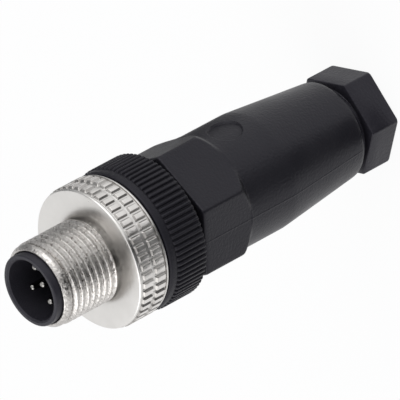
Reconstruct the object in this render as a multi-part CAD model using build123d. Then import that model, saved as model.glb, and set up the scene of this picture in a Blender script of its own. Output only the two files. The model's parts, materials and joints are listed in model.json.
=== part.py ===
from build123d import *
import math
import os

# A five-pole M12 cable plug with a rotating metal coupling screw.
# Millimetres and degrees. Stations run along the axis from the mating face
# towards the cable; angles go round it, seen with the cable end far away.

# Clearances
running_clearance = 0.08
end_clearance = 0.1
seat_clearance = 0.02
cut_margin = 1.0

# Coupling screw: M12 thread, and a flange with two rows of knurled pads
thread_radius = 6.0
sleeve_wall = 0.85
nut_setback = 1.1
thread_length = 8.8
thread_chamfer = 0.6
relief_length = 0.5
relief_depth = 0.5
flange_web = 1.8
flange_rim_wall = 1.2
flange_chamfer = 0.25
pad_count = 48
pad_rows = 2
pad_length = 1.8
pad_gap = 0.4
pad_height = 0.35
pad_edge_gap = 0.2
pad_slope = 0.12
pad_groove = 0.38
rim_length = 0.4
rim_height = 0.18

# Retaining ring, half in the carrier and half in the coupling screw
wire_width = 0.6
wire_depth = 0.75
wire_opening = 40.0

# Contact carrier
shroud_wall = 0.75
shroud_depth = 9.6
shroud_lead = 0.25
key_angle = 232.0
key_width = 1.2
key_height = 0.65
collar_ledge = 0.8
hub_step = 0.45
hub_key_count = 4
hub_key_width = 2.0
hub_key_depth = 0.3
block_length = 5.6
post_length = 6.2
fin_thickness = 0.8
fin_inset = 1.0
terminal_cover = 0.4

# Contacts and their screw terminals
pin_radius = 0.5
pin_circle_radius = 2.5
pin_start_angle = 7.0
outer_pins = 4
pin_setback = 1.95
pin_tip_round = 0.35
body_radius = 0.7
body_seat = 1.0
sleeve_radius = 1.5
outer_sleeve_length = 7.6
centre_sleeve_length = 5.4
wire_hole_radius = 0.75
wire_hole_depth = 5.0
screw_inset = 2.4
screw_radius = 0.8
screw_grip = 1.4
screw_head_radius = 1.15
screw_head_height = 0.9
screw_slot_width = 0.35
screw_slot_depth = 0.4

# Grip ring behind the coupling screw
nut_gap = 0.2
band_length = 1.2
band_height = 0.12
rib_length = 5.2
rib_count = 80
rib_height = 0.32
rib_crest_width = 0.3
rib_foot_width = 0.56
grip_wall = 2.25
grip_chamfer = 0.25

# Rear shell
shell_gap = 1.2
shell_af = 17.0
shell_hex_turn = 40.0
shell_wall = 1.2
hex_length = 6.7
hex_corner_round = 0.35
hex_front_round = 0.3
shoulder_length = 1.7
shoulder_bulge = 0.2
barrel_step = 0.05
barrel_length = 8.2
taper_length = 14.3
rear_wall = 0.95
rear_round = 0.5
shell_engagement = 6.0
chamber_wall = 1.95
partition_gap = 0.7
partition_thickness = 1.2
cable_hole_radius = 3.7

# Gland: pressing screw, slip washer, clamping cage and rubber seal
gland_af = 13.0
gland_hex_turn = 56.0
gland_gap = 1.3
gland_travel = 1.2
head_length = 4.8
head_shoulder = 0.45
head_chamfer = 0.35
head_corner_round = 0.3
neck_length = 5.4
neck_chamfer = 0.4
gland_bore_radius = 3.2
mouth_round = 0.8
washer_thickness = 0.6
cage_length = 5.2
cage_wall = 1.3
cage_band = 1.4
cage_slots = 8
cage_slot_width = 0.9
cage_taper = 1.1
seal_inner_radius = 2.4
seal_lip = 0.6

# Radii that follow from the sizes above, from the sleeve inwards
nut_bore_radius = thread_radius - sleeve_wall
shroud_radius = nut_bore_radius - running_clearance
shroud_bore_radius = shroud_radius - shroud_wall
wire_inner_radius = nut_bore_radius - wire_depth / 2
wire_outer_radius = nut_bore_radius + wire_depth / 2

# Radii from the shell outwards to the two rings
shell_bore_radius = shell_af / 2 - shell_wall
carrier_thread_radius = shell_bore_radius - running_clearance
hub_radius = carrier_thread_radius + hub_step
collar_radius = hub_radius + collar_ledge
nut_pocket_radius = collar_radius + running_clearance
knurl_root_radius = nut_pocket_radius + flange_rim_wall
pad_crest_radius = knurl_root_radius + pad_height
rim_radius = knurl_root_radius + rim_height
grip_root_radius = hub_radius + grip_wall
band_radius = grip_root_radius + band_height
rib_crest_radius = grip_root_radius + rib_height

# Radii of the gland, from the pressing screw's head inwards
neck_radius = gland_af / 2 - head_shoulder
gland_thread_bore = neck_radius + running_clearance
shell_rear_radius = gland_thread_bore + rear_wall
cage_radius = neck_radius - seat_clearance
cage_bore_radius = cage_radius - cage_wall
seal_radius = cage_bore_radius - seat_clearance
barrel_radius = shell_af / 2 + barrel_step
hex_corner_radius = shell_af / 2 / math.cos(math.radians(30))
chamber_radius = barrel_radius - chamber_wall
block_radius = chamber_radius - 3 * running_clearance

# Stations of the coupling screw and grip ring
flange_front = nut_setback + thread_length + relief_length
pads_start = flange_front + rim_length + pad_edge_gap
pads_end = pads_start + pad_rows * pad_length + (pad_rows - 1) * pad_gap
flange_rear = pads_end + pad_edge_gap + rim_length
pocket_floor = flange_front + flange_web
wire_start = (flange_front + pocket_floor) / 2 - wire_width / 2
grip_front = flange_rear + nut_gap
ribs_start = grip_front + band_length
grip_rear = ribs_start + rib_length

# Stations of the shell
shell_front = grip_rear + shell_gap
hex_end = shell_front + hex_length
shoulder_end = hex_end + shoulder_length
barrel_end = shoulder_end + barrel_length
shell_rear = barrel_end + taper_length
carrier_thread_end = shell_front + shell_engagement
shell_step = carrier_thread_end + end_clearance

# Stations of the carrier's terminal block and the contacts in it
block_end = carrier_thread_end + block_length
post_end = block_end + post_length
outer_sleeve_front = block_end - outer_sleeve_length
centre_sleeve_front = post_end - centre_sleeve_length
body_start = shroud_depth + body_seat

# Stations of the gland
head_front = shell_rear + gland_gap
gland_rear = head_front + head_length
neck_front = head_front - neck_length
washer_rear = neck_front - end_clearance / 2
washer_front = washer_rear - washer_thickness
cage_rear = washer_front
cage_front = cage_rear - cage_length
chamber_end = post_end + partition_gap
seat_station = chamber_end + partition_thickness
seat_radius = cage_radius - cage_taper + end_clearance
cone_rear = seat_station + gland_thread_bore - seat_radius


def spun(outline):
    """Solid of revolution about the axis, from a closed outline in radius and station."""
    return revolve(make_face(Plane.XZ * outline), Axis.Z)


def turned(*corners):
    """Solid of revolution about the axis, from corners (radius, station)."""
    return spun(Polyline(*corners, close=True))


def tube(outer, inner, start, end):
    """Plain tube between two stations."""
    return Pos(0, 0, start) * extrude(Circle(outer) - Circle(inner), end - start)


def rod(radius, start, end):
    """Plain round bar between two stations."""
    return Pos(0, 0, start) * extrude(Circle(radius), end - start)


def hexagon(across_flats, corner_round, turn, start, end):
    """Hexagonal bar; turn is the angle of one corner."""
    outline = RegularPolygon(across_flats / 2, 6, major_radius=False)
    outline = fillet(outline.vertices(), corner_round)
    return Pos(0, 0, start) * extrude(Rot(0, 0, turn) * outline, end - start)


def radial_rod(radius, from_radius, to_radius, station, angle):
    """Round bar that points away from the axis."""
    bar = extrude(Circle(radius), to_radius - from_radius)
    return Rot(0, 0, angle) * Pos(from_radius, 0, station) * Rot(0, 90, 0) * bar


def contact_places():
    """Angle, distance from the axis, terminal front, terminal end and screw angle."""
    step = 360 / outer_pins
    for index in range(outer_pins):
        angle = pin_start_angle + index * step
        yield angle, pin_circle_radius, outer_sleeve_front, block_end, angle
    yield 0.0, 0.0, centre_sleeve_front, post_end, pin_start_angle + step / 2


def contact_centre(angle, distance):
    return Rot(0, 0, angle) * Pos(distance, 0, 0)


def carrier_hub_slots():
    """Slots along the hub that the grip ring's keys slide into."""
    slot = Pos(hub_radius, 0, (grip_front + grip_rear) / 2) * Box(
        2 * hub_key_depth, hub_key_width, grip_rear - grip_front
    )
    return [Rot(0, 0, index * 360 / hub_key_count) * slot for index in range(hub_key_count)]


def terminal_post():
    """Post behind the block: it holds the middle terminal between four fins."""
    step = 360 / outer_pins
    hub = rod(sleeve_radius + terminal_cover, block_end, post_end)
    fin_reach = block_radius - fin_inset
    fin = Pos(fin_reach / 2, 0, (block_end + post_end) / 2) * Box(
        fin_reach, fin_thickness, post_length
    )
    fins = [
        Rot(0, 0, pin_start_angle + (index + 0.5) * step) * fin for index in range(outer_pins)
    ]
    boss = radial_rod(
        screw_head_radius + terminal_cover,
        0,
        sleeve_radius + terminal_cover + screw_head_height,
        post_end - screw_inset,
        pin_start_angle + step / 2,
    )
    return hub + fins + boss


def contact_holes():
    """Stepped holes for the contacts, with the wells of their screws."""
    holes = []
    for angle, distance, sleeve_front, sleeve_end, screw_angle in contact_places():
        bore = rod(pin_radius + seat_clearance, shroud_depth - cut_margin, body_start)
        bore += rod(body_radius + seat_clearance, body_start, sleeve_front)
        bore += rod(sleeve_radius + seat_clearance, sleeve_front, sleeve_end + cut_margin)
        well = radial_rod(
            screw_head_radius + running_clearance,
            distance,
            block_radius + cut_margin,
            sleeve_end - screw_inset,
            screw_angle,
        )
        holes += [contact_centre(angle, distance) * bore, well]
    return holes


def contact_carrier():
    """Black insulator: shroud, collar, threaded neck and terminal block."""
    body = turned(
        (0, shroud_depth),
        (shroud_bore_radius, shroud_depth),
        (shroud_bore_radius, shroud_lead),
        (shroud_bore_radius + shroud_lead, 0),
        (shroud_radius - shroud_lead / 2, 0),
        (shroud_radius, shroud_lead / 2),
        (shroud_radius, wire_start - running_clearance),
        (wire_inner_radius - running_clearance, wire_start - running_clearance),
        (wire_inner_radius - running_clearance, wire_start + wire_width + running_clearance),
        (shroud_radius, wire_start + wire_width + running_clearance),
        (shroud_radius, pocket_floor + end_clearance),
        (collar_radius, pocket_floor + end_clearance),
        (collar_radius, grip_front),
        (hub_radius, grip_front),
        (hub_radius, grip_rear),
        (carrier_thread_radius, grip_rear),
        (carrier_thread_radius, carrier_thread_end),
        (block_radius, carrier_thread_end),
        (block_radius, block_end),
        (0, block_end),
    )
    key = Rot(0, 0, key_angle) * Pos(
        shroud_bore_radius - key_height / 2 + shroud_wall / 4, 0, (shroud_depth + 2 * shroud_lead) / 2
    ) * Box(key_height + shroud_wall / 2, key_width, shroud_depth - 2 * shroud_lead)
    body = body + key + terminal_post()
    return body - carrier_hub_slots() - contact_holes()


def contact_pin(angle, distance, sleeve_front, sleeve_end, screw_angle):
    """Turned contact: round-nosed pin, stepped body and terminal sleeve."""
    pin = rod(pin_radius, pin_setback, body_start)
    pin = fillet(pin.edges().group_by(Axis.Z)[0], pin_tip_round)
    pin += rod(body_radius, body_start, sleeve_front)
    pin += rod(sleeve_radius, sleeve_front, sleeve_end)
    pin -= rod(wire_hole_radius, sleeve_end - wire_hole_depth, sleeve_end)
    tapped = radial_rod(
        screw_radius + running_clearance / 2,
        0,
        sleeve_radius + cut_margin,
        sleeve_end - screw_inset,
        screw_angle - angle,
    )
    return contact_centre(angle, distance) * (pin - tapped)


def terminal_screw(angle, distance, sleeve_front, sleeve_end, screw_angle):
    """Slotted screw that clamps a wire in its terminal sleeve."""
    tip = wire_hole_radius / 2
    head_seat = tip + screw_grip
    head_top = head_seat + screw_head_height
    screw = rod(screw_radius, tip, head_seat) + rod(screw_head_radius, head_seat, head_top)
    slot_length = 2 * screw_head_radius + cut_margin
    screw -= Pos(0, 0, head_top) * Box(slot_length, screw_slot_width, 2 * screw_slot_depth)
    placed = Pos(distance, 0, sleeve_end - screw_inset) * Rot(0, 90, 0) * screw
    return Rot(0, 0, screw_angle) * placed


def coupling_nut():
    """Nickel-plated screw: threaded sleeve and a flange knurled in two rows."""
    body = turned(
        (nut_bore_radius, nut_setback),
        (thread_radius - thread_chamfer, nut_setback),
        (thread_radius, nut_setback + thread_chamfer),
        (thread_radius, nut_setback + thread_length),
        (thread_radius - relief_depth, nut_setback + thread_length),
        (thread_radius - relief_depth, flange_front),
        (rim_radius - flange_chamfer, flange_front),
        (rim_radius, flange_front + flange_chamfer),
        (rim_radius, flange_front + rim_length),
        (knurl_root_radius, flange_front + rim_length),
        (knurl_root_radius, flange_rear - rim_length),
        (rim_radius, flange_rear - rim_length),
        (rim_radius, flange_rear - flange_chamfer),
        (rim_radius - flange_chamfer, flange_rear),
        (nut_pocket_radius, flange_rear),
        (nut_pocket_radius, pocket_floor),
        (nut_bore_radius, pocket_floor),
        (nut_bore_radius, wire_start + wire_width + running_clearance),
        (wire_outer_radius + running_clearance, wire_start + wire_width + running_clearance),
        (wire_outer_radius + running_clearance, wire_start - running_clearance),
        (nut_bore_radius, wire_start - running_clearance),
    )
    return body + pads()


def pads():
    """Rows of small raised pads with sloping sides."""
    pitch = 2 * math.pi * pad_crest_radius / pad_count
    crest = pitch - pad_groove - 2 * pad_slope
    foot_depth = pad_height / 2
    outline = Polyline(
        (knurl_root_radius - foot_depth, -crest / 2 - pad_slope),
        (knurl_root_radius, -crest / 2 - pad_slope),
        (pad_crest_radius, -crest / 2),
        (pad_crest_radius, crest / 2),
        (knurl_root_radius, crest / 2 + pad_slope),
        (knurl_root_radius - foot_depth, crest / 2 + pad_slope),
        close=True,
    )
    pad = extrude(make_face(outline), pad_length)
    row = [Rot(0, 0, (index + 0.5) * 360 / pad_count) * pad for index in range(pad_count)]
    step = pad_length + pad_gap
    return [Pos(0, 0, pads_start + place * step) * item for place in range(pad_rows) for item in row]


def retaining_ring():
    """Open wire ring that keeps the coupling screw on the carrier."""
    ring = tube(wire_outer_radius, wire_inner_radius, wire_start, wire_start + wire_width)
    reach = 2 * wire_outer_radius
    half = math.radians(wire_opening / 2)
    wedge = make_face(
        Polyline(
            (0, 0),
            (reach, -reach * math.tan(half)),
            (reach, reach * math.tan(half)),
            close=True,
        )
    )
    gap = Pos(0, 0, wire_start - cut_margin) * extrude(wedge, wire_width + 2 * cut_margin)
    return ring - Rot(0, 0, key_angle) * gap


def grip_ring():
    """Ribbed ring that is keyed to the carrier's hub."""
    rib = Polyline(
        (grip_root_radius - rib_height, -rib_foot_width / 2),
        (grip_root_radius, -rib_foot_width / 2),
        (rib_crest_radius, -rib_crest_width / 2),
        (rib_crest_radius, rib_crest_width / 2),
        (grip_root_radius, rib_foot_width / 2),
        (grip_root_radius - rib_height, rib_foot_width / 2),
        close=True,
    )
    outline = Circle(grip_root_radius) + PolarLocations(0, rib_count) * make_face(rib)
    ribbed = Pos(0, 0, ribs_start) * extrude(outline, rib_length)
    envelope = turned(
        (0, grip_front),
        (band_radius - grip_chamfer, grip_front),
        (band_radius, grip_front + grip_chamfer),
        (band_radius, ribs_start - rib_height),
        (rib_crest_radius, ribs_start),
        (rib_crest_radius, grip_rear - grip_chamfer),
        (rib_crest_radius - grip_chamfer, grip_rear),
        (0, grip_rear),
    )
    ring = rod(band_radius, grip_front, ribs_start) + ribbed
    ring = ring & envelope
    ring -= rod(hub_radius + seat_clearance, grip_front - cut_margin, grip_rear + cut_margin)
    key_reach = hub_key_depth - seat_clearance
    key = Pos(hub_radius + seat_clearance, 0, (grip_front + grip_rear) / 2) * Box(
        2 * key_reach, hub_key_width - 2 * seat_clearance, grip_rear - grip_front
    )
    return ring + [Rot(0, 0, index * 360 / hub_key_count) * key for index in range(hub_key_count)]


def shell_seal():
    """Round rubber ring in the gap between the grip ring and the shell."""
    half = shell_gap / 2 - end_clearance
    centre = carrier_thread_radius + seat_clearance + half
    return Pos(0, 0, (grip_rear + shell_front) / 2) * Torus(centre, half)


def shell_outside():
    """Hexagon that runs over a rounded shoulder into a round, tapering barrel."""
    corner = (hex_corner_radius, hex_end)
    barrel_front = (barrel_radius, shoulder_end)
    sides = Polyline(
        barrel_front,
        (barrel_radius, barrel_end),
        (shell_rear_radius, shell_rear),
        (0, shell_rear),
        (0, shell_front),
        (hex_corner_radius, shell_front),
        corner,
    )
    rounded = spun(sides + SagittaArc(corner, barrel_front, -shoulder_bulge))
    circles = rounded.edges().filter_by(GeomType.CIRCLE).sort_by(Axis.Z)
    rounded = fillet(circles[0], hex_front_round)
    circles = rounded.edges().filter_by(GeomType.CIRCLE).sort_by(Axis.Z)
    rounded = fillet(circles[-1], rear_round)
    flats = hexagon(shell_af, hex_corner_round, shell_hex_turn, shell_front, shoulder_end)
    flats += rod(hex_corner_radius, shoulder_end, shell_rear)
    return rounded & flats


def rear_shell():
    """Screwed-on shell: front thread, terminal chamber and cage seat."""
    inside = turned(
        (0, shell_front - cut_margin),
        (shell_bore_radius, shell_front - cut_margin),
        (shell_bore_radius, shell_step),
        (chamber_radius, shell_step),
        (chamber_radius, chamber_end),
        (cable_hole_radius, chamber_end),
        (cable_hole_radius, seat_station),
        (seat_radius, seat_station),
        (gland_thread_bore, cone_rear),
        (gland_thread_bore, shell_rear + cut_margin),
        (0, shell_rear + cut_margin),
    )
    return shell_outside() - inside


def clamping_cage():
    """Sprung cage: a band at the rear with fingers that reach forward."""
    cage = turned(
        (cage_bore_radius, cage_front),
        (cage_radius - cage_taper, cage_front),
        (cage_radius, cage_front + cage_taper),
        (cage_radius, cage_rear),
        (cage_bore_radius, cage_rear),
    )
    slot_length = cage_length - cage_band
    slot = Pos(cage_radius, 0, cage_front + slot_length / 2) * Box(
        2 * (cage_radius - seal_inner_radius), cage_slot_width, slot_length
    )
    return cage - [Rot(0, 0, index * 360 / cage_slots) * slot for index in range(cage_slots)]


def gland_seal():
    """Rubber sleeve that grips the cable inside the cage."""
    return turned(
        (seal_inner_radius, cage_front + seal_lip),
        (seal_radius, cage_front + seal_lip),
        (seal_radius, cage_rear),
        (seal_inner_radius + seal_lip, cage_rear),
        (seal_inner_radius, cage_rear - seal_lip),
    )


def slip_washer():
    """Thin washer between the cage and the turning screw."""
    return tube(cage_radius, gland_bore_radius, washer_front, washer_rear)


def gland_screw():
    """Hollow hexagon-headed screw that presses on the cage."""
    head = hexagon(gland_af, head_corner_round, gland_hex_turn, head_front, gland_rear)
    corner = gland_af / 2 / math.cos(math.radians(30))
    limit = turned(
        (0, head_front),
        (corner, head_front),
        (corner, gland_rear - head_chamfer),
        (corner - 2 * head_chamfer, gland_rear),
        (0, gland_rear),
    )
    neck = turned(
        (0, neck_front),
        (neck_radius - neck_chamfer, neck_front),
        (neck_radius, neck_front + neck_chamfer),
        (neck_radius, head_front),
        (0, head_front),
    )
    bore = rod(gland_bore_radius, neck_front - cut_margin, gland_rear + cut_margin)
    screw = (head & limit) + neck - bore
    mouth = screw.edges().filter_by(GeomType.CIRCLE).group_by(Axis.Z)[-1].sort_by(SortBy.RADIUS)[0]
    return fillet(mouth, mouth_round)


def all_pieces():
    """Every piece by name, along the plug's own axis."""
    pieces = {
        "contact_carrier": contact_carrier(),
        "coupling_nut": coupling_nut(),
        "retaining_ring": retaining_ring(),
        "grip_ring": grip_ring(),
        "shell_seal": shell_seal(),
        "rear_shell": rear_shell(),
        "clamping_cage": clamping_cage(),
        "gland_seal": gland_seal(),
        "slip_washer": slip_washer(),
        "gland_screw": gland_screw(),
    }
    for number, place in enumerate(contact_places(), start=1):
        pieces[f"contact_pin_{number}"] = contact_pin(*place)
        pieces[f"terminal_screw_{number}"] = terminal_screw(*place)
    return pieces


def stood_up(pieces):
    """Pieces with the plug upright on its gland screw, and the place that moved them."""
    place = Pos(0, 0, gland_rear) * Rot(0, 180, 0)
    return {name: place * piece for name, piece in pieces.items()}, place


if __name__ == "__main__":
    os.makedirs("parts", exist_ok=True)
    standing, _ = stood_up(all_pieces())
    for name, piece in standing.items():
        export_step(piece, f"parts/{name}.step")
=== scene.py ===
import json
import math

import bmesh
import bpy
from mathutils import Matrix, Vector


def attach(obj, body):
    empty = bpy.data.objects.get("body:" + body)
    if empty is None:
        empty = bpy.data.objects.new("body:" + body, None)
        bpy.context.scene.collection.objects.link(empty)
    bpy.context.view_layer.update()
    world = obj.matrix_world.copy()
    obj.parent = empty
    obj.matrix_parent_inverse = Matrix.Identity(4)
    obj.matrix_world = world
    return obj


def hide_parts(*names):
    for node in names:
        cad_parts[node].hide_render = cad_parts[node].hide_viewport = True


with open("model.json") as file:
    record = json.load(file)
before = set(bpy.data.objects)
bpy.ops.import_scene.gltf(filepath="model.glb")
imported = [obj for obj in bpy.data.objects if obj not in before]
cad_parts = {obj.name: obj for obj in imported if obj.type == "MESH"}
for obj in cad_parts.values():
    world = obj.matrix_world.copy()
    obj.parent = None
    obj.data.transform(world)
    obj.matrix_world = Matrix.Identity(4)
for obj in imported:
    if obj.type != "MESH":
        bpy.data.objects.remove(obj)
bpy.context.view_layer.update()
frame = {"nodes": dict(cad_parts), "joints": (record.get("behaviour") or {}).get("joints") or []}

MM = 0.001

# Sizes in millimetres. Stations run along the plug's axis from the mating face towards the cable, and
# angles in degrees go round it, with 270 facing the camera.
FLANGE_STATION = 10.4

# Small steps that break an edge or lead into a bore
HAIR = 0.02
FINE = 0.03
EASE = 0.05
LEAD_IN = 0.1

# How pieces are meshed: rounded corners, extra angles at a hexagon's corners and the least gap between
# two angles, the distance at which points join, and the angle from which an edge stays sharp
ROUND_STEPS = 3
ROUND_LIMIT = 0.45
CORNER_STEPS = (-3.0, -2.0, -1.2, -0.6, 0.0, 0.6, 1.2, 2.0, 3.0)
ANGLE_GAP = 0.18
JOIN_DISTANCE = 0.0001
SHARP_ANGLE = 50.0
RIB_SHARP_ANGLE = 60.0

# Thread form: rings to a pitch, steepness of the flanks, and the share of its height to which it fades
THREAD_ROWS = 14
THREAD_FLANK = 0.8
THREAD_MIDDLE = 0.45

# Coupling screw: sleeve with its lead band, thread and relief
SLEEVE_SIDES = 192
SLEEVE_BORE = 5.15
SLEEVE_FRONT = 1.1
SLEEVE_EDGE = 0.06
SLEEVE_ROOT = 0.5
SLEEVE_SKIN = 0.15
LEAD_RADIUS = 5.4
LEAD_LENGTH = 0.55
LEAD_RISE = 0.12
BAND_RADIUS = 5.72
BAND_START = 1.95
BAND_STEP = 0.08
THREAD_RADIUS = 6.0
THREAD_DEPTH = 0.4
THREAD_PITCH = 1.0
THREAD_TURN = 310.0
THREAD_START = 2.3
THREAD_END = 10.2
THREAD_FADE = 0.22
RELIEF_RADIUS = 5.5

# Coupling screw: flange with two rows of pads, a rim at each side and a pocket behind. A pad's rise gives
# shares of its pitch and height, and its end gives millimetres along and a share of its height.
PAD_COUNT = 48
PAD_ROWS = (11.0, 13.2)
PAD_LENGTH = 1.8
PAD_MIDDLE = 13.0
PAD_SPAN = 2.25
PAD_ROOT = 9.75
PAD_CREST = 10.1
PAD_RISE = ((0.08, 0.0), (0.11, 0.04), (0.21, 0.88), (0.24, 0.97), (0.29, 1.0))
PAD_END = ((0.0, 0.0), (0.03, 0.04), (0.15, 0.88), (0.19, 0.97), (0.26, 1.0))
RIM_RADIUS = 9.93
RIM_LENGTH = 0.4
RIM_CHAMFER = 0.14
FLANGE_REAR = 15.6
POCKET_RADIUS = 8.55
POCKET_FLOOR = 12.2
WIRE_GROOVE_RADIUS = 5.605
WIRE_GROOVE = (10.92, 11.68)

# Places of the threaded sleeve and the pads' walls, in painted shade, and of the pads' tops among the
# screw's materials
SHADED_SLEEVE_PLACE, SHADED_WALL_PLACE, TOP_PLACE = 1, 2, 3

# Grip ring: a plain band, then ribs. Their rise is given like a pad's, and their two ends like a pad's end.
RIB_COUNT = 80
RIB_ROOT = 9.86
RIB_CREST = 10.24
RIB_RISE = ((0.11, 0.04), (0.17, 0.3), (0.24, 0.8), (0.31, 0.97))
RIBS_START = 17.0
RIBS_FRONT = ((0.0, 0.35), (0.1, 0.75), (0.25, 1.0), (2.6, 1.0))
RIBS_REAR = ((0.25, 1.0), (0.12, 0.8), (0.03, 0.35), (0.0, 0.0))
GRIP_FRONT = 15.8
GRIP_REAR = 22.2
GRIP_BORE = 7.69
GRIP_BAND_RADIUS = 10.04
GRIP_CHAMFER = 0.25
GRIP_EDGE = 0.08
GRIP_BAND_STEP = 0.12

# Rear shell. Its lip gives insets and distances from the front, and its rear edge changes of the radius
# and distances from the rear.
SHELL_SIDES = 216
SHELL_FRONT = 23.4
SHELL_LIP = ((0.32, 0.0), (0.14, 0.05), (0.04, 0.16))
SHELL_LIP_LENGTH = 0.35
SHELL_AF = 17.0
SHELL_TURN = 40.0
SHELL_CORNER = 9.81
SHELL_CORNER_ROUND = 0.35
HEX_STATIONS = (24.2, 26.0, 28.0, 29.4)
HEX_END = 30.1
HEX_FADE = 3.0
HEX_FADE_LENGTH = 1.2
SHOULDER_END = 31.8
SHOULDER_BULGE = 0.25
SHOULDER_BLEND = 0.3
SHOULDER_SHIFTS = (-0.36, -0.18, 0.0, 0.18, 0.36)
SHOULDER_BEFORE = 0.5
SHOULDER_STEP = 0.14
SHOULDER_COUNT = 20
BARREL_RADIUS = 8.55
BARREL_END = 40.0
BARREL_STATIONS = (39.0, 39.6, 40.0, 40.4, 41.0)
TAPER_STATIONS = (43.0, 45.0, 47.0, 49.0, 51.0, 52.5, 53.4)
SHELL_REAR = 54.3
SHELL_REAR_RADIUS = 7.08
SHELL_REAR_EDGE = ((0.04, 0.5), (-0.03, 0.25), (-0.2, 0.07), (-0.45, 0.0))
SHELL_BORE = 7.3
SHELL_STEP = 29.5
CHAMBER_RADIUS = 6.6
CHAMBER_END = 41.9
CABLE_HOLE = 3.7
SEAT_STATION = 43.1
SEAT_RADIUS = 5.03
CONE_REAR = 44.2
GLAND_BORE = 6.13
GLAND_BORE_CHAMFER = 0.12
SEAM_ANGLES = (130.0, 310.0)
SEAM_HEIGHT = 0.035
SEAM_REACH = 0.7
SEAM_SHARES = (-1.0, -0.5, 0.0, 0.5, 1.0)

# Round recess in the shell's barrel, and the fine mesh round it with the last coarse station before
DISC_STATION = 35.6
DISC_ANGLE = 219.5
DISC_RADIUS = 2.45
DISC_DEPTH = 0.3
DISC_WALL = 0.13
DISC_BEFORE = 33.0
DISC_STEPS = 64
DISC_MARGIN = 0.1
DISC_ANGLE_MARGIN = 0.8
DISC_ANGLE_STEP = 0.45

# Gland screw. Its head's front edge gives distances and insets, and its rear edge distances, insets and
# chamfers at the corners.
GLAND_SIDES = 180
GLAND_AF = 13.0
GLAND_TURN = 56.0
GLAND_CORNER_ROUND = 0.3
GLAND_EDGE_BLEND = 0.1
HEAD_FRONT = 55.6
HEAD_FRONT_EDGE = ((0.0, 0.14), (0.04, 0.05), (0.14, 0.0), (2.0, 0.0))
GLAND_REAR = 60.4
HEAD_REAR_EDGE = ((0.4, 0.0, 0.0), (0.2, 0.0, 0.06), (0.08, 0.03, 0.16), (0.0, 0.14, 0.32))
NECK_FRONT = 50.2
NECK_RADIUS = 6.08
NECK_ROOT = 5.6
NECK_CHAMFER = 0.2
NECK_LEAD = 0.3
NECK_PLAIN = 0.12
NECK_STEP = 0.08
NECK_PITCH = 1.0
NECK_TURN = 270.0
NECK_FADE = 0.2
CABLE_BORE = 3.2
MOUTH_ROUND = 0.8
MOUTH_STEPS = 5

# Finishes: noise in features per metre, bumps in metres
PLASTIC_IOR = 1.34
PLASTIC_SHEEN = (0.93, 0.91, 1.0, 1.0)
PLASTIC_CLOUDS = 140.0
PLASTIC_GRAIN = 2800.0
PLASTIC_FINE_GRAIN = 6500.0
CAGE_GRAIN = 5200.0
PLASTIC_BUMP = 0.00008
PLASTIC_BUMP_STRENGTH = 0.7
METAL_STAINS = 260.0
METAL_GRAIN = 5200.0
METAL_SCUFFS = 0.000004
WORN_GRAIN = 2600.0
PAD_SCUFFS = 0.00004
THREAD_SCUFFS = 0.0001
THREAD_STAINS = 2400.0
RUBBER_CLOUDS = 500.0
RUBBER_BUMP = 0.00002
RUBBER_BUMP_STRENGTH = 0.3
RUBBER_ROUGHNESS = (0.62, 0.78)
NOISE_LOW = 0.3
NOISE_HIGH = 0.7
STAIN_DETAIL = 4.0
CLOUD_DETAIL = 3.0
GRAIN_DETAIL = 2.0
ROUGH_SPREAD = 0.05
METAL_ROUGH_SPREAD = 0.07

# The photograph's camera: lens in pixels of its 400-pixel frame, and where the plug lies before it
PHOTO_SIZE = 400.0
FOCAL_PIXELS = 8095.4
PIXELS_PER_MM = 7.68152
FACE_PIXEL = (30.02, 291.18)
AXIS_RISE = 28.34
AXIS_DEPTH = 34.62
SENSOR_WIDTH = 36.0
CLIP_NEAR = 0.05
CLIP_FAR = 20.0

# Studio, in metres: table, surroundings, and lamps that give their place, their size and their watts
TABLE_HALF = 3.0
TABLE_GREY = (0.86, 0.86, 0.86, 1.0)
TABLE_GLOW = 0.92
SKY_TINT = (0.95, 0.97, 1.0, 1.0)
SKY_STRENGTH = 0.75
WHITE = (1.0, 1.0, 1.0, 1.0)
KEY_LAMP = ((-0.35, 0.10, 0.50), (0.35, 0.35), 1.0)
FILL_LAMP = ((0.45, -0.35, 0.30), (0.5, 0.4), 1.2)
LAMP_TARGET = (0.0, 0.0, 0.01)

# Cards that only reflections see, in metres. Each lies or stands across a turn round the plug, in degrees
# from the camera's side, and runs from a near, low edge to a far, high one.
DARK_TONE = 0.02
GREY_TONE = 0.15
SOFT_TONE = 0.32
PALE_TONE = 0.5
CARD_PARTS = 6
CARD_LIFT = 0.0002
FRONT_TURNS = (-46.0, 3.0)
FAR_TURNS = (-58.0, 3.0)
STANDING_TURNS = (-50.0, 0.0)
FRONT_REACHES = (0.009, 0.068, 0.083, 0.35)
FRONT_TOP = 0.40
SIDE_TURNS = (95.0, 150.0)
STANDING_SIDE_TURNS = (95.0, 145.0)
SIDE_REACHES = (0.032, 0.064, 0.087, 0.2)
SIDE_TOP = 0.3


# Where things are

SPIN = next(joint for joint in frame["joints"] if joint["name"] == "coupling_spin")
AXIS = Vector(SPIN["axis"]).normalized()
FACE = Vector(SPIN["pos_m"]) - AXIS * FLANGE_STATION * MM


def spoke(angle):
    """Unit vector from the axis towards an angle."""
    turn = math.radians(angle)
    return Vector((-math.cos(turn), math.sin(turn), 0.0))


def plug_matrix():
    """From the plug's own millimetres, with Z along its axis, to the world."""
    columns = Matrix((spoke(0.0), spoke(90.0), AXIS)).transposed()
    return Matrix.Translation(FACE) @ (columns * MM).to_4x4()


PLUG = plug_matrix()


# Mesh building


def smooth_step(value):
    value = min(1.0, max(0.0, value))
    return value * value * (3.0 - 2.0 * value)


def soft_min(first, second, width):
    """Lower of two values, with a rounded join that is width wide."""
    blend = max(width - abs(first - second), 0.0) / width
    return min(first, second) - blend * blend * blend * width / 6.0


def even_angles(count):
    return [360.0 * index / count for index in range(count + 1)]


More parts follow.
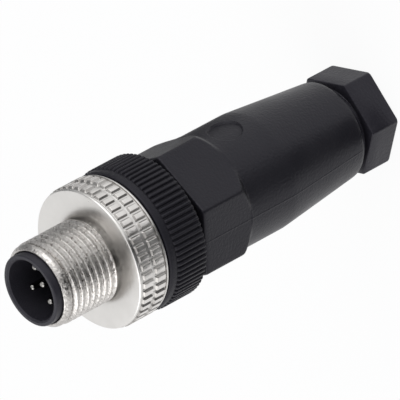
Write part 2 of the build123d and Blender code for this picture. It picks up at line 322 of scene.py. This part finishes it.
def hexagon_angles(count, turn, extra=()):
    """Angles round a hexagonal piece, closer together at its corners, with the extra ones added."""
    angles = set(even_angles(count)).union(extra)
    for corner in range(6):
        angles.update((turn + 60.0 * corner + step) % 360.0 for step in CORNER_STEPS)
    kept = [0.0]
    for angle in sorted(angles):
        if angle - kept[-1] > ANGLE_GAP:
            kept.append(angle)
    kept[-1] = 360.0
    return kept


def toothed_angles(count, rise):
    """Angles round a ring of even teeth, with the share of a tooth's height at each."""
    fall = [(1.0 - along, height) for along, height in reversed(rise)]
    shares = [(0.0, 0.0), *rise, (0.5, 1.0), *fall]
    pitch = 360.0 / count
    angles = [pitch * (index + along) for index in range(count) for along, _ in shares]
    heights = [height for _ in range(count) for _, height in shares]
    return [*angles, 360.0], [*heights, 0.0]


def rounded(corners, radius):
    """A closed profile of (radius, station) corners with each corner rounded off."""
    points = []
    count = len(corners)
    for index in range(count):
        here = Vector(corners[index])
        before = Vector(corners[index - 1]) - here
        after = Vector(corners[(index + 1) % count]) - here
        reach = min(radius, ROUND_LIMIT * before.length, ROUND_LIMIT * after.length)
        start = here + before.normalized() * reach
        end = here + after.normalized() * reach
        for step in range(ROUND_STEPS + 1):
            share = step / ROUND_STEPS
            first = start.lerp(here, share)
            second = here.lerp(end, share)
            points.append(tuple(first.lerp(second, share)))
    return points


def plain_rings(profile, angles):
    """One ring for each (radius, station) of a turned profile."""
    return [[point] * len(angles) for point in profile]


def thread_rings(angles, span, radii, pitch, crest_turn, fade):
    """Rings along a right-hand thread between two stations, from its root to its crest radius."""
    start, end = span
    root, crest = radii
    middle = root + (crest - root) * THREAD_MIDDLE
    rings = []
    for row in range(int(THREAD_ROWS * ((end - start) / pitch + 1)) + 1):
        base = start - pitch + row * pitch / THREAD_ROWS
        phase = base / pitch + crest_turn / 360.0
        height = min(1.0, max(0.0, 0.5 + THREAD_FLANK * math.cos(2.0 * math.pi * phase)))
        ring = []
        for angle in angles:
            station = min(end, max(start, base + pitch * angle / 360.0))
            grown = smooth_step((station - start) / fade) * smooth_step((end - station) / fade)
            ring.append((middle + (root + (crest - root) * height - middle) * grown, station))
        rings.append(ring)
    return rings


def add_stack(mesh, angles, rings):
    """Adds a closed skin through rings of (radius, station), one point per angle."""
    grid = []
    for ring in rings:
        row = []
        for angle, (radius, station) in zip(angles, ring):
            turn = math.radians(angle)
            row.append(mesh.verts.new((radius * math.cos(turn), radius * math.sin(turn), station)))
        grid.append(row)
    for index, row in enumerate(grid):
        following = grid[(index + 1) % len(grid)]
        for column in range(len(angles) - 1):
            corners = (row[column], row[column + 1], following[column + 1], following[column])
            mesh.faces.new(corners)


def finished(name, mesh, body, nodes, materials, sharp_angle=SHARP_ANGLE):
    """Turns the mesh into a piece that rides on a body and stands for CAD nodes."""
    bmesh.ops.remove_doubles(mesh, verts=mesh.verts, dist=JOIN_DISTANCE)
    bmesh.ops.dissolve_degenerate(mesh, edges=mesh.edges, dist=JOIN_DISTANCE)
    bmesh.ops.recalc_face_normals(mesh, faces=mesh.faces)
    mesh.transform(PLUG)
    data = bpy.data.meshes.new(name)
    mesh.to_mesh(data)
    mesh.free()
    data.shade_smooth()
    data.set_sharp_from_angle(angle=math.radians(sharp_angle))
    for material in materials:
        data.materials.append(material)
    piece = bpy.data.objects.new(name, data)
    bpy.context.scene.collection.objects.link(piece)
    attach(piece, body)
    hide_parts(*nodes)


# Materials


def new_material(name):
    material = bpy.data.materials.new(name)
    material.use_nodes = True
    tree = material.node_tree
    return material, tree, tree.nodes["Principled BSDF"]


def object_noise(tree, scale, detail):
    """Noise in the piece's own coordinates; scale counts features per metre."""
    coordinates = tree.nodes.new("ShaderNodeTexCoord")
    noise = tree.nodes.new("ShaderNodeTexNoise")
    noise.inputs["Scale"].default_value = scale
    noise.inputs["Detail"].default_value = detail
    tree.links.new(coordinates.outputs["Object"], noise.inputs["Vector"])
    return noise.outputs["Fac"]


def mapped(tree, value, low, high):
    """Spreads a noise value over a range."""
    spread = tree.nodes.new("ShaderNodeMapRange")
    spread.inputs["From Min"].default_value = NOISE_LOW
    spread.inputs["From Max"].default_value = NOISE_HIGH
    spread.inputs["To Min"].default_value = low
    spread.inputs["To Max"].default_value = high
    tree.links.new(value, spread.inputs["Value"])
    return spread.outputs["Result"]


def tinted(tree, value, first, second):
    """Colour that runs between two tones with a noise value."""
    ramp = tree.nodes.new("ShaderNodeValToRGB")
    stops = ramp.color_ramp.elements
    stops[0].position = NOISE_LOW
    stops[0].color = (*first, 1.0)
    stops[1].position = NOISE_HIGH
    stops[1].color = (*second, 1.0)
    tree.links.new(value, ramp.inputs["Fac"])
    return ramp.outputs["Color"]


def bumped(tree, value, distance, strength=1.0):
    bump = tree.nodes.new("ShaderNodeBump")
    bump.inputs["Strength"].default_value = strength
    bump.inputs["Distance"].default_value = distance
    tree.links.new(value, bump.inputs["Height"])
    return bump.outputs["Normal"]


def moulded_plastic(name, dark, light, roughness, grain):
    """Moulded plastic with a fine eroded grain and faint flow marks."""
    material, tree, shader = new_material(name)
    shader.inputs["IOR"].default_value = PLASTIC_IOR
    shader.inputs["Specular Tint"].default_value = PLASTIC_SHEEN
    cloud = object_noise(tree, PLASTIC_CLOUDS, CLOUD_DETAIL)
    fine = object_noise(tree, grain, GRAIN_DETAIL)
    rough = mapped(tree, cloud, roughness - ROUGH_SPREAD, roughness + ROUGH_SPREAD)
    normal = bumped(tree, fine, PLASTIC_BUMP, PLASTIC_BUMP_STRENGTH)
    tree.links.new(tinted(tree, cloud, dark, light), shader.inputs["Base Color"])
    tree.links.new(rough, shader.inputs["Roughness"])
    tree.links.new(normal, shader.inputs["Normal"])
    return material


def plated_metal(
    name, first, second, roughness, stains=METAL_STAINS, scuffs=METAL_SCUFFS, grain=METAL_GRAIN
):
    """Metal with a satin skin, soft stains and fine scuffs."""
    material, tree, shader = new_material(name)
    shader.inputs["Metallic"].default_value = 1.0
    cloud = object_noise(tree, stains, STAIN_DETAIL)
    fine = object_noise(tree, grain, GRAIN_DETAIL)
    rough = mapped(tree, cloud, roughness - ROUGH_SPREAD, roughness + METAL_ROUGH_SPREAD)
    tree.links.new(tinted(tree, cloud, first, second), shader.inputs["Base Color"])
    tree.links.new(rough, shader.inputs["Roughness"])
    tree.links.new(bumped(tree, fine, scuffs), shader.inputs["Normal"])
    return material


def soft_rubber(name, dark, light):
    material, tree, shader = new_material(name)
    cloud = object_noise(tree, RUBBER_CLOUDS, CLOUD_DETAIL)
    normal = bumped(tree, cloud, RUBBER_BUMP, RUBBER_BUMP_STRENGTH)
    tree.links.new(tinted(tree, cloud, dark, light), shader.inputs["Base Color"])
    tree.links.new(mapped(tree, cloud, *RUBBER_ROUGHNESS), shader.inputs["Roughness"])
    tree.links.new(normal, shader.inputs["Normal"])
    return material


SHELL_PLASTIC = moulded_plastic(
    "shell_plastic", (0.011, 0.0105, 0.014), (0.015, 0.0145, 0.018), 0.40, PLASTIC_GRAIN
)
GLAND_PLASTIC = moulded_plastic(
    "gland_plastic", (0.014, 0.013, 0.018), (0.018, 0.017, 0.022), 0.42, PLASTIC_GRAIN
)
GRIP_PLASTIC = moulded_plastic(
    "grip_plastic", (0.009, 0.0085, 0.012), (0.012, 0.0115, 0.015), 0.46, PLASTIC_FINE_GRAIN
)
CARRIER_PLASTIC = moulded_plastic(
    "carrier_plastic", (0.021, 0.020, 0.026), (0.026, 0.025, 0.031), 0.38, PLASTIC_FINE_GRAIN
)
CAGE_PLASTIC = moulded_plastic("cage_plastic", (0.30, 0.30, 0.29), (0.36, 0.36, 0.35), 0.5, CAGE_GRAIN)
NICKEL = plated_metal("nickel", (0.66, 0.647, 0.628), (0.74, 0.726, 0.708), 0.32)
PAD_NICKEL = plated_metal(
    "pad_nickel", (0.64, 0.62, 0.60), (0.80, 0.78, 0.76), 0.32, scuffs=PAD_SCUFFS, grain=WORN_GRAIN
)
# Sleeve's nickel darkened as painted shade of the thread's grooves, with mottled stains of its own
SHADED_THREAD_NICKEL = plated_metal(
    "shaded_thread_nickel",
    (0.39, 0.372, 0.354),
    (0.62, 0.602, 0.584),
    0.30,
    stains=THREAD_STAINS,
    scuffs=THREAD_SCUFFS,
    grain=WORN_GRAIN,
)
# Pads' side walls: nickel darkened as painted shade of the grooves between the pads
WALL_SHADE_NICKEL = plated_metal("wall_shade_nickel", (0.36, 0.345, 0.33), (0.48, 0.465, 0.45), 0.36)
# Pins darkened as painted shade of the cavity round them, darker than their metal really is
SHADED_CONTACT_METAL = plated_metal("contact_metal", (0.26, 0.255, 0.245), (0.34, 0.33, 0.315), 0.16)
SCREW_STEEL = plated_metal("screw_steel", (0.50, 0.50, 0.51), (0.58, 0.58, 0.59), 0.3)
SPRING_STEEL = plated_metal("spring_steel", (0.36, 0.37, 0.38), (0.42, 0.43, 0.44), 0.34)
SEAL_RUBBER = soft_rubber("seal_rubber", (0.012, 0.012, 0.013), (0.018, 0.018, 0.019))


def dress_nodes():
    """Materials for the CAD nodes, those that a piece stands for among them."""
    dresses = {
        "contact_carrier": CARRIER_PLASTIC,
        "retaining_ring": SPRING_STEEL,
        "shell_seal": SEAL_RUBBER,
        "gland_seal": SEAL_RUBBER,
        "clamping_cage": CAGE_PLASTIC,
        "slip_washer": CAGE_PLASTIC,
        "coupling_nut": NICKEL,
        "grip_ring": GRIP_PLASTIC,
        "rear_shell": SHELL_PLASTIC,
        "gland_screw": GLAND_PLASTIC,
    }
    # Pins take the metal darkened as painted shade
    for number in range(1, 6):
        dresses[f"contact_pin_{number}"] = SHADED_CONTACT_METAL
        dresses[f"terminal_screw_{number}"] = SCREW_STEEL
    for name, material in dresses.items():
        data = frame["nodes"][name].data
        data.materials.clear()
        data.materials.append(material)


# Coupling screw


def add_threaded_sleeve(mesh):
    """Sleeve with the M12 thread, a plain lead band and a relief before the flange."""
    angles = even_angles(SLEEVE_SIDES)
    collar = BAND_RADIUS + LEAD_RISE
    corners = [
        (SLEEVE_BORE, SLEEVE_FRONT),
        (LEAD_RADIUS, SLEEVE_FRONT),
        (collar, SLEEVE_FRONT + LEAD_LENGTH),
        (collar, BAND_START),
        (BAND_RADIUS, BAND_START + BAND_STEP),
        (BAND_RADIUS, THREAD_START - HAIR),
        (SLEEVE_BORE + LEAD_IN, THREAD_START),
    ]
    mouth = [(SLEEVE_BORE, SLEEVE_FRONT + SLEEVE_EDGE), (SLEEVE_BORE + SLEEVE_EDGE, SLEEVE_FRONT)]
    # The first and last corners only lead the rounding in and out.
    ends = ROUND_STEPS + 1
    outside = rounded(corners, SLEEVE_EDGE)[ends:-ends]
    inner_end = FLANGE_STATION + SLEEVE_ROOT
    tail = [
        (RELIEF_RADIUS, THREAD_END + SLEEVE_EDGE),
        (RELIEF_RADIUS, FLANGE_STATION),
        (RELIEF_RADIUS - EASE, inner_end),
        (SLEEVE_BORE + SLEEVE_SKIN, inner_end),
        (SLEEVE_BORE + SLEEVE_SKIN, FLANGE_STATION + EASE),
        (SLEEVE_BORE, FLANGE_STATION - EASE),
    ]
    span = (THREAD_START, THREAD_END)
    radii = (THREAD_RADIUS - THREAD_DEPTH, THREAD_RADIUS)
    rings = plain_rings(mouth + outside, angles)
    rings += thread_rings(angles, span, radii, THREAD_PITCH, THREAD_TURN, THREAD_FADE)
    rings += plain_rings(tail, angles)
    add_stack(mesh, angles, rings)


def pad_stations():
    """Stations along the two rows of pads, with the share of the pad's height at each."""
    stations = []
    for start in PAD_ROWS:
        stations += [(start + along, height) for along, height in PAD_END]
        stations.append((start + PAD_LENGTH / 2, 1.0))
        stations += [(start + PAD_LENGTH - along, height) for along, height in reversed(PAD_END)]
    return stations


def add_flange(mesh):
    """Flange with two rows of pads round it, a rim at each side and a pocket behind."""
    angles, heights = toothed_angles(PAD_COUNT, PAD_RISE)
    before = [
        (SLEEVE_BORE, WIRE_GROOVE[0]),
        (SLEEVE_BORE, FLANGE_STATION + EASE),
        (SLEEVE_BORE + EASE, FLANGE_STATION),
        (RIM_RADIUS - RIM_CHAMFER - EASE, FLANGE_STATION),
        (RIM_RADIUS - RIM_CHAMFER + HAIR, FLANGE_STATION + FINE),
        (RIM_RADIUS - FINE, FLANGE_STATION + RIM_CHAMFER - HAIR),
        (RIM_RADIUS, FLANGE_STATION + RIM_CHAMFER + EASE),
        (RIM_RADIUS, FLANGE_STATION + RIM_LENGTH - FINE),
        (RIM_RADIUS - FINE, FLANGE_STATION + RIM_LENGTH),
        (PAD_ROOT, FLANGE_STATION + RIM_LENGTH + 2 * HAIR),
    ]
    after = [
        (PAD_ROOT, FLANGE_REAR - RIM_LENGTH - 2 * HAIR),
        (RIM_RADIUS - FINE, FLANGE_REAR - RIM_LENGTH),
        (RIM_RADIUS, FLANGE_REAR - RIM_LENGTH + FINE),
        (RIM_RADIUS, FLANGE_REAR - RIM_CHAMFER - EASE),
        (RIM_RADIUS - RIM_CHAMFER, FLANGE_REAR),
        (POCKET_RADIUS + LEAD_IN, FLANGE_REAR),
        (POCKET_RADIUS, FLANGE_REAR - LEAD_IN),
        (POCKET_RADIUS, POCKET_FLOOR),
        (SLEEVE_BORE, POCKET_FLOOR),
        (SLEEVE_BORE, WIRE_GROOVE[1]),
        (WIRE_GROOVE_RADIUS, WIRE_GROOVE[1]),
        (WIRE_GROOVE_RADIUS, WIRE_GROOVE[0]),
    ]
    rise = PAD_CREST - PAD_ROOT
    rings = plain_rings(before, angles)
    for station, share in pad_stations():
        rings.append([(PAD_ROOT + rise * min(share, height), station) for height in heights])
    rings += plain_rings(after, angles)
    add_stack(mesh, angles, rings)


def shade_metal(mesh):
    """Darker nickel as painted shade on the sleeve and the pads' walls, and worn nickel on the pads' tops.
    """
    for face in mesh.faces:
        middle = face.calc_center_median()
        radius = math.hypot(middle.x, middle.y)
        if middle.z < FLANGE_STATION - HAIR / 2:
            face.material_index = SHADED_SLEEVE_PLACE
        elif abs(middle.z - PAD_MIDDLE) < PAD_SPAN and radius > PAD_ROOT + HAIR:
            face.material_index = SHADED_WALL_PLACE if radius < PAD_CREST - HAIR else TOP_PLACE


def make_coupling_screw():
    mesh = bmesh.new()
    add_threaded_sleeve(mesh)
    add_flange(mesh)
    shade_metal(mesh)
    metals = (NICKEL, SHADED_THREAD_NICKEL, WALL_SHADE_NICKEL, PAD_NICKEL)
    finished("coupling_screw", mesh, "coupling_screw", ["coupling_nut"], metals)


# Grip ring


def make_grip_ring():
    """Plain band in front, and fine straight ribs over the rest."""
    angles, heights = toothed_angles(RIB_COUNT, RIB_RISE)
    front = [
        (GRIP_BORE, GRIP_FRONT),
        (GRIP_BAND_RADIUS - GRIP_CHAMFER, GRIP_FRONT),
        (GRIP_BAND_RADIUS - LEAD_IN, GRIP_FRONT + GRIP_EDGE),
        (GRIP_BAND_RADIUS, GRIP_FRONT + GRIP_CHAMFER),
        (GRIP_BAND_RADIUS, RIBS_START - GRIP_BAND_STEP),
        (GRIP_BAND_RADIUS - HAIR, RIBS_START - 2 * HAIR),
    ]
    stations = [(RIBS_START + along, share) for along, share in RIBS_FRONT]
    stations += [(GRIP_REAR - along, share) for along, share in RIBS_REAR]
    rise = RIB_CREST - RIB_ROOT
    rings = plain_rings(front, angles)
    for station, share in stations:
        rings.append([(RIB_ROOT + rise * height * share, station) for height in heights])
    rings += plain_rings([(RIB_ROOT - LEAD_IN, GRIP_REAR), (GRIP_BORE, GRIP_REAR)], angles)
    mesh = bmesh.new()
    add_stack(mesh, angles, rings)
    materials = [GRIP_PLASTIC]
    finished("ribbed_grip", mesh, "insert", ["grip_ring"], materials, RIB_SHARP_ANGLE)


# Rear shell


def hexagon_radius(angle, across_flats, turn, softness):
    """Distance from the axis to a hexagon with rounded corners."""
    off = (angle - turn) % 60.0 - 30.0
    near = across_flats / 2 / math.cos(math.radians(off))
    far = across_flats / 2 / math.cos(math.radians(60.0 - abs(off)))
    return soft_min(near, far, softness)


def shell_round_radius(station):
    """Radius of the shell's turned form at a station."""
    if station <= HEX_END:
        return SHELL_CORNER
    if station <= SHOULDER_END:
        share = (station - HEX_END) / (SHOULDER_END - HEX_END)
        straight = SHELL_CORNER + (BARREL_RADIUS - SHELL_CORNER) * share
        return straight + 4.0 * SHOULDER_BULGE * share * (1.0 - share)
    if station <= BARREL_END:
        return BARREL_RADIUS
    share = (station - BARREL_END) / (SHELL_REAR - BARREL_END)
    return BARREL_RADIUS + (SHELL_REAR_RADIUS - BARREL_RADIUS) * share


def shell_radius(station, angle):
    """Outside of the shell: hexagon, shoulder, barrel, seams and round recess."""
    turned = [shell_round_radius(station + shift) for shift in SHOULDER_SHIFTS]
    hexagon = hexagon_radius(angle, SHELL_AF, SHELL_TURN, SHELL_CORNER_ROUND)
    hexagon += HEX_FADE * smooth_step((station - SHOULDER_END) / HEX_FADE_LENGTH)
    radius = soft_min(sum(turned) / len(turned), hexagon, SHOULDER_BLEND)
    for seam in SEAM_ANGLES:
        across = abs((angle - seam + 180.0) % 360.0 - 180.0)
        radius += SEAM_HEIGHT * smooth_step(1.0 - across / SEAM_REACH)
    around = math.radians(angle - DISC_ANGLE) * BARREL_RADIUS
    off = math.hypot(station - DISC_STATION, around)
    return radius - DISC_DEPTH * smooth_step((DISC_RADIUS - off) / DISC_WALL)


def shell_angles():
    """Angles round the shell, closer together at the corners, seams and recess."""
    extra = [seam + SEAM_REACH * share for seam in SEAM_ANGLES for share in SEAM_SHARES]
    reach = math.degrees(DISC_RADIUS / BARREL_RADIUS) + DISC_ANGLE_MARGIN
    count = int(2 * reach / DISC_ANGLE_STEP)
    extra += [DISC_ANGLE - reach + 2 * reach * step / count for step in range(count + 1)]
    return hexagon_angles(SHELL_SIDES, SHELL_TURN, extra)


def shell_stations():
    """Stations along the outside, closer together at the shoulder and the recess."""
    stations = [SHELL_FRONT + SHELL_LIP_LENGTH, *HEX_STATIONS]
    shoulder = HEX_END - SHOULDER_BEFORE
    stations += [shoulder + SHOULDER_STEP * step for step in range(SHOULDER_COUNT)]
    stations.append(DISC_BEFORE)
    start = DISC_STATION - DISC_RADIUS - DISC_MARGIN
    span = 2 * (DISC_RADIUS + DISC_MARGIN)
    stations += [start + span * step / DISC_STEPS for step in range(DISC_STEPS + 1)]
    return [*stations, *BARREL_STATIONS, *TAPER_STATIONS]


def shell_inside():
    """Rear face, gland thread, cable hole, chamber and front bore, from the rear edge forwards."""
    edge = [(SHELL_REAR_RADIUS + change, SHELL_REAR - back) for change, back in SHELL_REAR_EDGE]
    return edge + [
        (GLAND_BORE + GLAND_BORE_CHAMFER, SHELL_REAR),
        (GLAND_BORE, SHELL_REAR - GLAND_BORE_CHAMFER),
        (GLAND_BORE, CONE_REAR),
        (SEAT_RADIUS, SEAT_STATION),
        (CABLE_HOLE, SEAT_STATION),
        (CABLE_HOLE, CHAMBER_END),
        (CHAMBER_RADIUS, CHAMBER_END),
        (CHAMBER_RADIUS, SHELL_STEP),
        (SHELL_BORE, SHELL_STEP),
        (SHELL_BORE, SHELL_FRONT + LEAD_IN),
        (SHELL_BORE + LEAD_IN, SHELL_FRONT),
    ]


def make_rear_shell():
    angles = shell_angles()
    edge = [shell_radius(SHELL_FRONT + SHELL_LIP_LENGTH, angle) for angle in angles]
    rings = []
    for inset, along in SHELL_LIP:
        rings.append([(radius - inset, SHELL_FRONT + along) for radius in edge])
    for station in shell_stations():
        rings.append([(shell_radius(station, angle), station) for angle in angles])
    rings += plain_rings(shell_inside(), angles)
    mesh = bmesh.new()
    add_stack(mesh, angles, rings)
    finished("moulded_shell", mesh, "shell", ["rear_shell"], [SHELL_PLASTIC])


# Gland screw


def head_rings(angles):
    """Hexagon head, from its front edge to its rear one."""
    corner = GLAND_AF / 2 / math.cos(math.radians(30.0))
    edges = [(HEAD_FRONT + along, inset, 0.0) for along, inset in HEAD_FRONT_EDGE]
    edges += [(GLAND_REAR - back, inset, chamfer) for back, inset, chamfer in HEAD_REAR_EDGE]
    rings = []
    for station, inset, chamfer in edges:
        ring = []
        for angle in angles:
            flat = hexagon_radius(angle, GLAND_AF, GLAND_TURN, GLAND_CORNER_ROUND) - inset
            ring.append((soft_min(flat, corner - chamfer, GLAND_EDGE_BLEND), station))
        rings.append(ring)
    return rings


def gland_inside():
    """Rounded mouth, cable bore and front edge of the neck."""
    profile = []
    for step in range(MOUTH_STEPS + 1):
        turn = math.radians(90.0 * step / MOUTH_STEPS)
        radius = CABLE_BORE + MOUTH_ROUND * (1.0 - math.sin(turn))
        profile.append((radius, GLAND_REAR - MOUTH_ROUND * (1.0 - math.cos(turn))))
    return profile + [
        (CABLE_BORE, NECK_FRONT + NECK_CHAMFER),
        (CABLE_BORE + NECK_CHAMFER, NECK_FRONT),
        (NECK_ROOT - NECK_CHAMFER, NECK_FRONT),
        (NECK_ROOT - HAIR, NECK_FRONT + NECK_CHAMFER),
    ]


def make_gland_screw():
    """Hexagon head with a threaded neck, bored through for the cable."""
    angles = hexagon_angles(GLAND_SIDES, GLAND_TURN)
    thread_end = HEAD_FRONT - NECK_PLAIN
    span = (NECK_FRONT + NECK_LEAD, thread_end)
    rings = head_rings(angles)
    rings += plain_rings(gland_inside(), angles)
    rings += thread_rings(angles, span, (NECK_ROOT, NECK_RADIUS), NECK_PITCH, NECK_TURN, NECK_FADE)
    rings += plain_rings([(NECK_ROOT, thread_end + NECK_STEP), (NECK_ROOT, HEAD_FRONT)], angles)
    mesh = bmesh.new()
    add_stack(mesh, angles, rings)
    finished("pressing_screw", mesh, "gland", ["gland_screw"], [GLAND_PLASTIC])


# Stage


def white_for_camera(tree):
    """1 where a ray comes from the camera or off glossy or through clear surfaces."""
    path = tree.nodes.new("ShaderNodeLightPath")
    first = tree.nodes.new("ShaderNodeMath")
    first.operation = "MAXIMUM"
    second = tree.nodes.new("ShaderNodeMath")
    second.operation = "MAXIMUM"
    tree.links.new(path.outputs["Is Camera Ray"], first.inputs[0])
    tree.links.new(path.outputs["Is Glossy Ray"], first.inputs[1])
    tree.links.new(first.outputs["Value"], second.inputs[0])
    tree.links.new(path.outputs["Is Transmission Ray"], second.inputs[1])
    return second.outputs["Value"]


def make_world():
    """Soft light from all round, and plain white behind the plug."""
    world = bpy.data.worlds.new("studio")
    bpy.context.scene.world = world
    world.use_nodes = True
    tree = world.node_tree
    tree.nodes.clear()
    output = tree.nodes.new("ShaderNodeOutputWorld")
    light = tree.nodes.new("ShaderNodeBackground")
    light.inputs["Color"].default_value = SKY_TINT
    light.inputs["Strength"].default_value = SKY_STRENGTH
    white = tree.nodes.new("ShaderNodeBackground")
    white.inputs["Color"].default_value = WHITE
    white.inputs["Strength"].default_value = 1.0
    mix = tree.nodes.new("ShaderNodeMixShader")
    tree.links.new(white_for_camera(tree), mix.inputs["Fac"])
    tree.links.new(light.outputs["Background"], mix.inputs[1])
    tree.links.new(white.outputs["Background"], mix.inputs[2])
    tree.links.new(mix.outputs["Shader"], output.inputs["Surface"])


def table_white():
    """White that keeps the plug's shadow."""
    material = bpy.data.materials.new("table_white")
    material.use_nodes = True
    tree = material.node_tree
    tree.nodes.clear()
    output = tree.nodes.new("ShaderNodeOutputMaterial")
    diffuse = tree.nodes.new("ShaderNodeBsdfDiffuse")
    diffuse.inputs["Color"].default_value = TABLE_GREY
    glow = tree.nodes.new("ShaderNodeEmission")
    glow.inputs["Strength"].default_value = 1.0
    share = tree.nodes.new("ShaderNodeMath")
    share.operation = "MULTIPLY"
    share.inputs[1].default_value = TABLE_GLOW
    mix = tree.nodes.new("ShaderNodeMixShader")
    tree.links.new(white_for_camera(tree), share.inputs[0])
    tree.links.new(share.outputs["Value"], mix.inputs["Fac"])
    tree.links.new(diffuse.outputs["BSDF"], mix.inputs[1])
    tree.links.new(glow.outputs["Emission"], mix.inputs[2])
    tree.links.new(mix.outputs["Shader"], output.inputs["Surface"])
    return material


def put_under_plug(name, corners, faces, material):
    """Stage piece that stays at the foot of the plug, which stands on the end of the gland screw."""
    data = bpy.data.meshes.new(name)
    data.from_pydata(corners, [], faces)
    data.materials.append(material)
    thing = bpy.data.objects.new(name, data)
    bpy.context.scene.collection.objects.link(thing)
    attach(thing, "clamp")
    return thing


def make_floor():
    half = TABLE_HALF
    corners = [(-half, -half, 0.0), (half, -half, 0.0), (half, half, 0.0), (-half, half, 0.0)]
    put_under_plug("table", corners, [(0, 1, 2, 3)], table_white())


def make_card(name, turns, near_edge, far_edge, tone):
    """Card round part of the plug, between two edges of (reach, height), seen by reflections alone."""
    material, _, shader = new_material(name)
    shader.inputs["Base Color"].default_value = (tone, tone, tone, 1.0)
    shader.inputs["Roughness"].default_value = 1.0
    corners = []
    for reach, height in (near_edge, far_edge):
        for step in range(CARD_PARTS + 1):
            turn = math.radians(turns[0] + (turns[1] - turns[0]) * step / CARD_PARTS)
            corners.append((reach * math.sin(turn), -reach * math.cos(turn), height))
    row = CARD_PARTS + 1
    faces = [(step, step + 1, step + 1 + row, step + row) for step in range(CARD_PARTS)]
    card = put_under_plug(name, corners, faces, material)
    card.visible_camera = False
    card.visible_diffuse = False
    card.visible_shadow = False
    card.visible_transmission = False


def make_cards():
    """Cards before the plug and beside it: flat ones on the table, then one that stands beyond them."""
    front = [(reach, CARD_LIFT) for reach in FRONT_REACHES]
    side = [(reach, CARD_LIFT) for reach in SIDE_REACHES]
    make_card("near_card", FRONT_TURNS, front[0], front[1], DARK_TONE)
    make_card("middle_card", FRONT_TURNS, front[1], front[2], PALE_TONE)
    make_card("far_card", FAR_TURNS, front[2], front[3], DARK_TONE)
    make_card("standing_card", STANDING_TURNS, front[3], (FRONT_REACHES[3], FRONT_TOP), DARK_TONE)
    make_card("near_side_card", SIDE_TURNS, side[0], side[1], GREY_TONE)
    make_card("far_side_card", SIDE_TURNS, side[2], side[3], DARK_TONE)
    make_card("standing_side_card", STANDING_SIDE_TURNS, side[3], (SIDE_REACHES[3], SIDE_TOP), SOFT_TONE)


def aim(position, target):
    """Matrix that puts a lamp at a place, shining towards a target."""
    back = (position - target).normalized()
    right = Vector((0, 0, 1)).cross(back).normalized()
    up = back.cross(right)
    turn = Matrix((right, up, back)).transposed().to_4x4()
    return Matrix.Translation(position) @ turn


def area_lamp(name, position, size, power):
    data = bpy.data.lights.new(name, "AREA")
    data.shape = "RECTANGLE"
    data.size, data.size_y = size
    data.energy = power
    lamp = bpy.data.objects.new(name, data)
    lamp.matrix_world = aim(Vector(position), Vector(LAMP_TARGET))
    bpy.context.scene.collection.objects.link(lamp)


def photo_axes():
    """Axis and the two spokes 0 and 90, as the photograph's camera sees them: right, down, away."""
    rise, depth = math.radians(AXIS_RISE), math.radians(AXIS_DEPTH)
    axis = Vector((math.cos(rise) * math.cos(depth), -math.sin(rise) * math.cos(depth), math.sin(depth)))
    first = Vector((math.sin(rise), math.cos(rise), 0.0))
    return axis, first, axis.cross(first)


def make_camera():
    """Camera that sees the plug as the photograph's does."""
    axis, first, second = photo_axes()
    seen = Matrix((first, second, axis)).transposed()
    real = Matrix((spoke(0.0), spoke(90.0), AXIS)).transposed()
    turn = real @ seen.transposed()
    across = (FACE_PIXEL[0] - PHOTO_SIZE / 2) / PIXELS_PER_MM
    down = (FACE_PIXEL[1] - PHOTO_SIZE / 2) / PIXELS_PER_MM
    offset = Vector((across, down, FOCAL_PIXELS / PIXELS_PER_MM)) * MM
    position = FACE - turn @ offset
    right, up, back = turn.col[0], -turn.col[1], -turn.col[2]
    rotation = Matrix((right, up, back)).transposed().to_4x4()
    data = bpy.data.cameras.new("camera")
    data.sensor_width = SENSOR_WIDTH
    data.lens = FOCAL_PIXELS / PHOTO_SIZE * SENSOR_WIDTH
    data.clip_start = CLIP_NEAR
    data.clip_end = CLIP_FAR
    camera = bpy.data.objects.new("camera", data)
    camera.matrix_world = Matrix.Translation(position) @ rotation
    bpy.context.scene.collection.objects.link(camera)
    bpy.context.scene.camera = camera


make_camera()
make_world()
make_floor()
area_lamp("key", *KEY_LAMP)
area_lamp("fill", *FILL_LAMP)
make_cards()
dress_nodes()
make_coupling_screw()
make_grip_ring()
make_rear_shell()
make_gland_screw()

bpy.context.scene.view_settings.view_transform = "Standard"
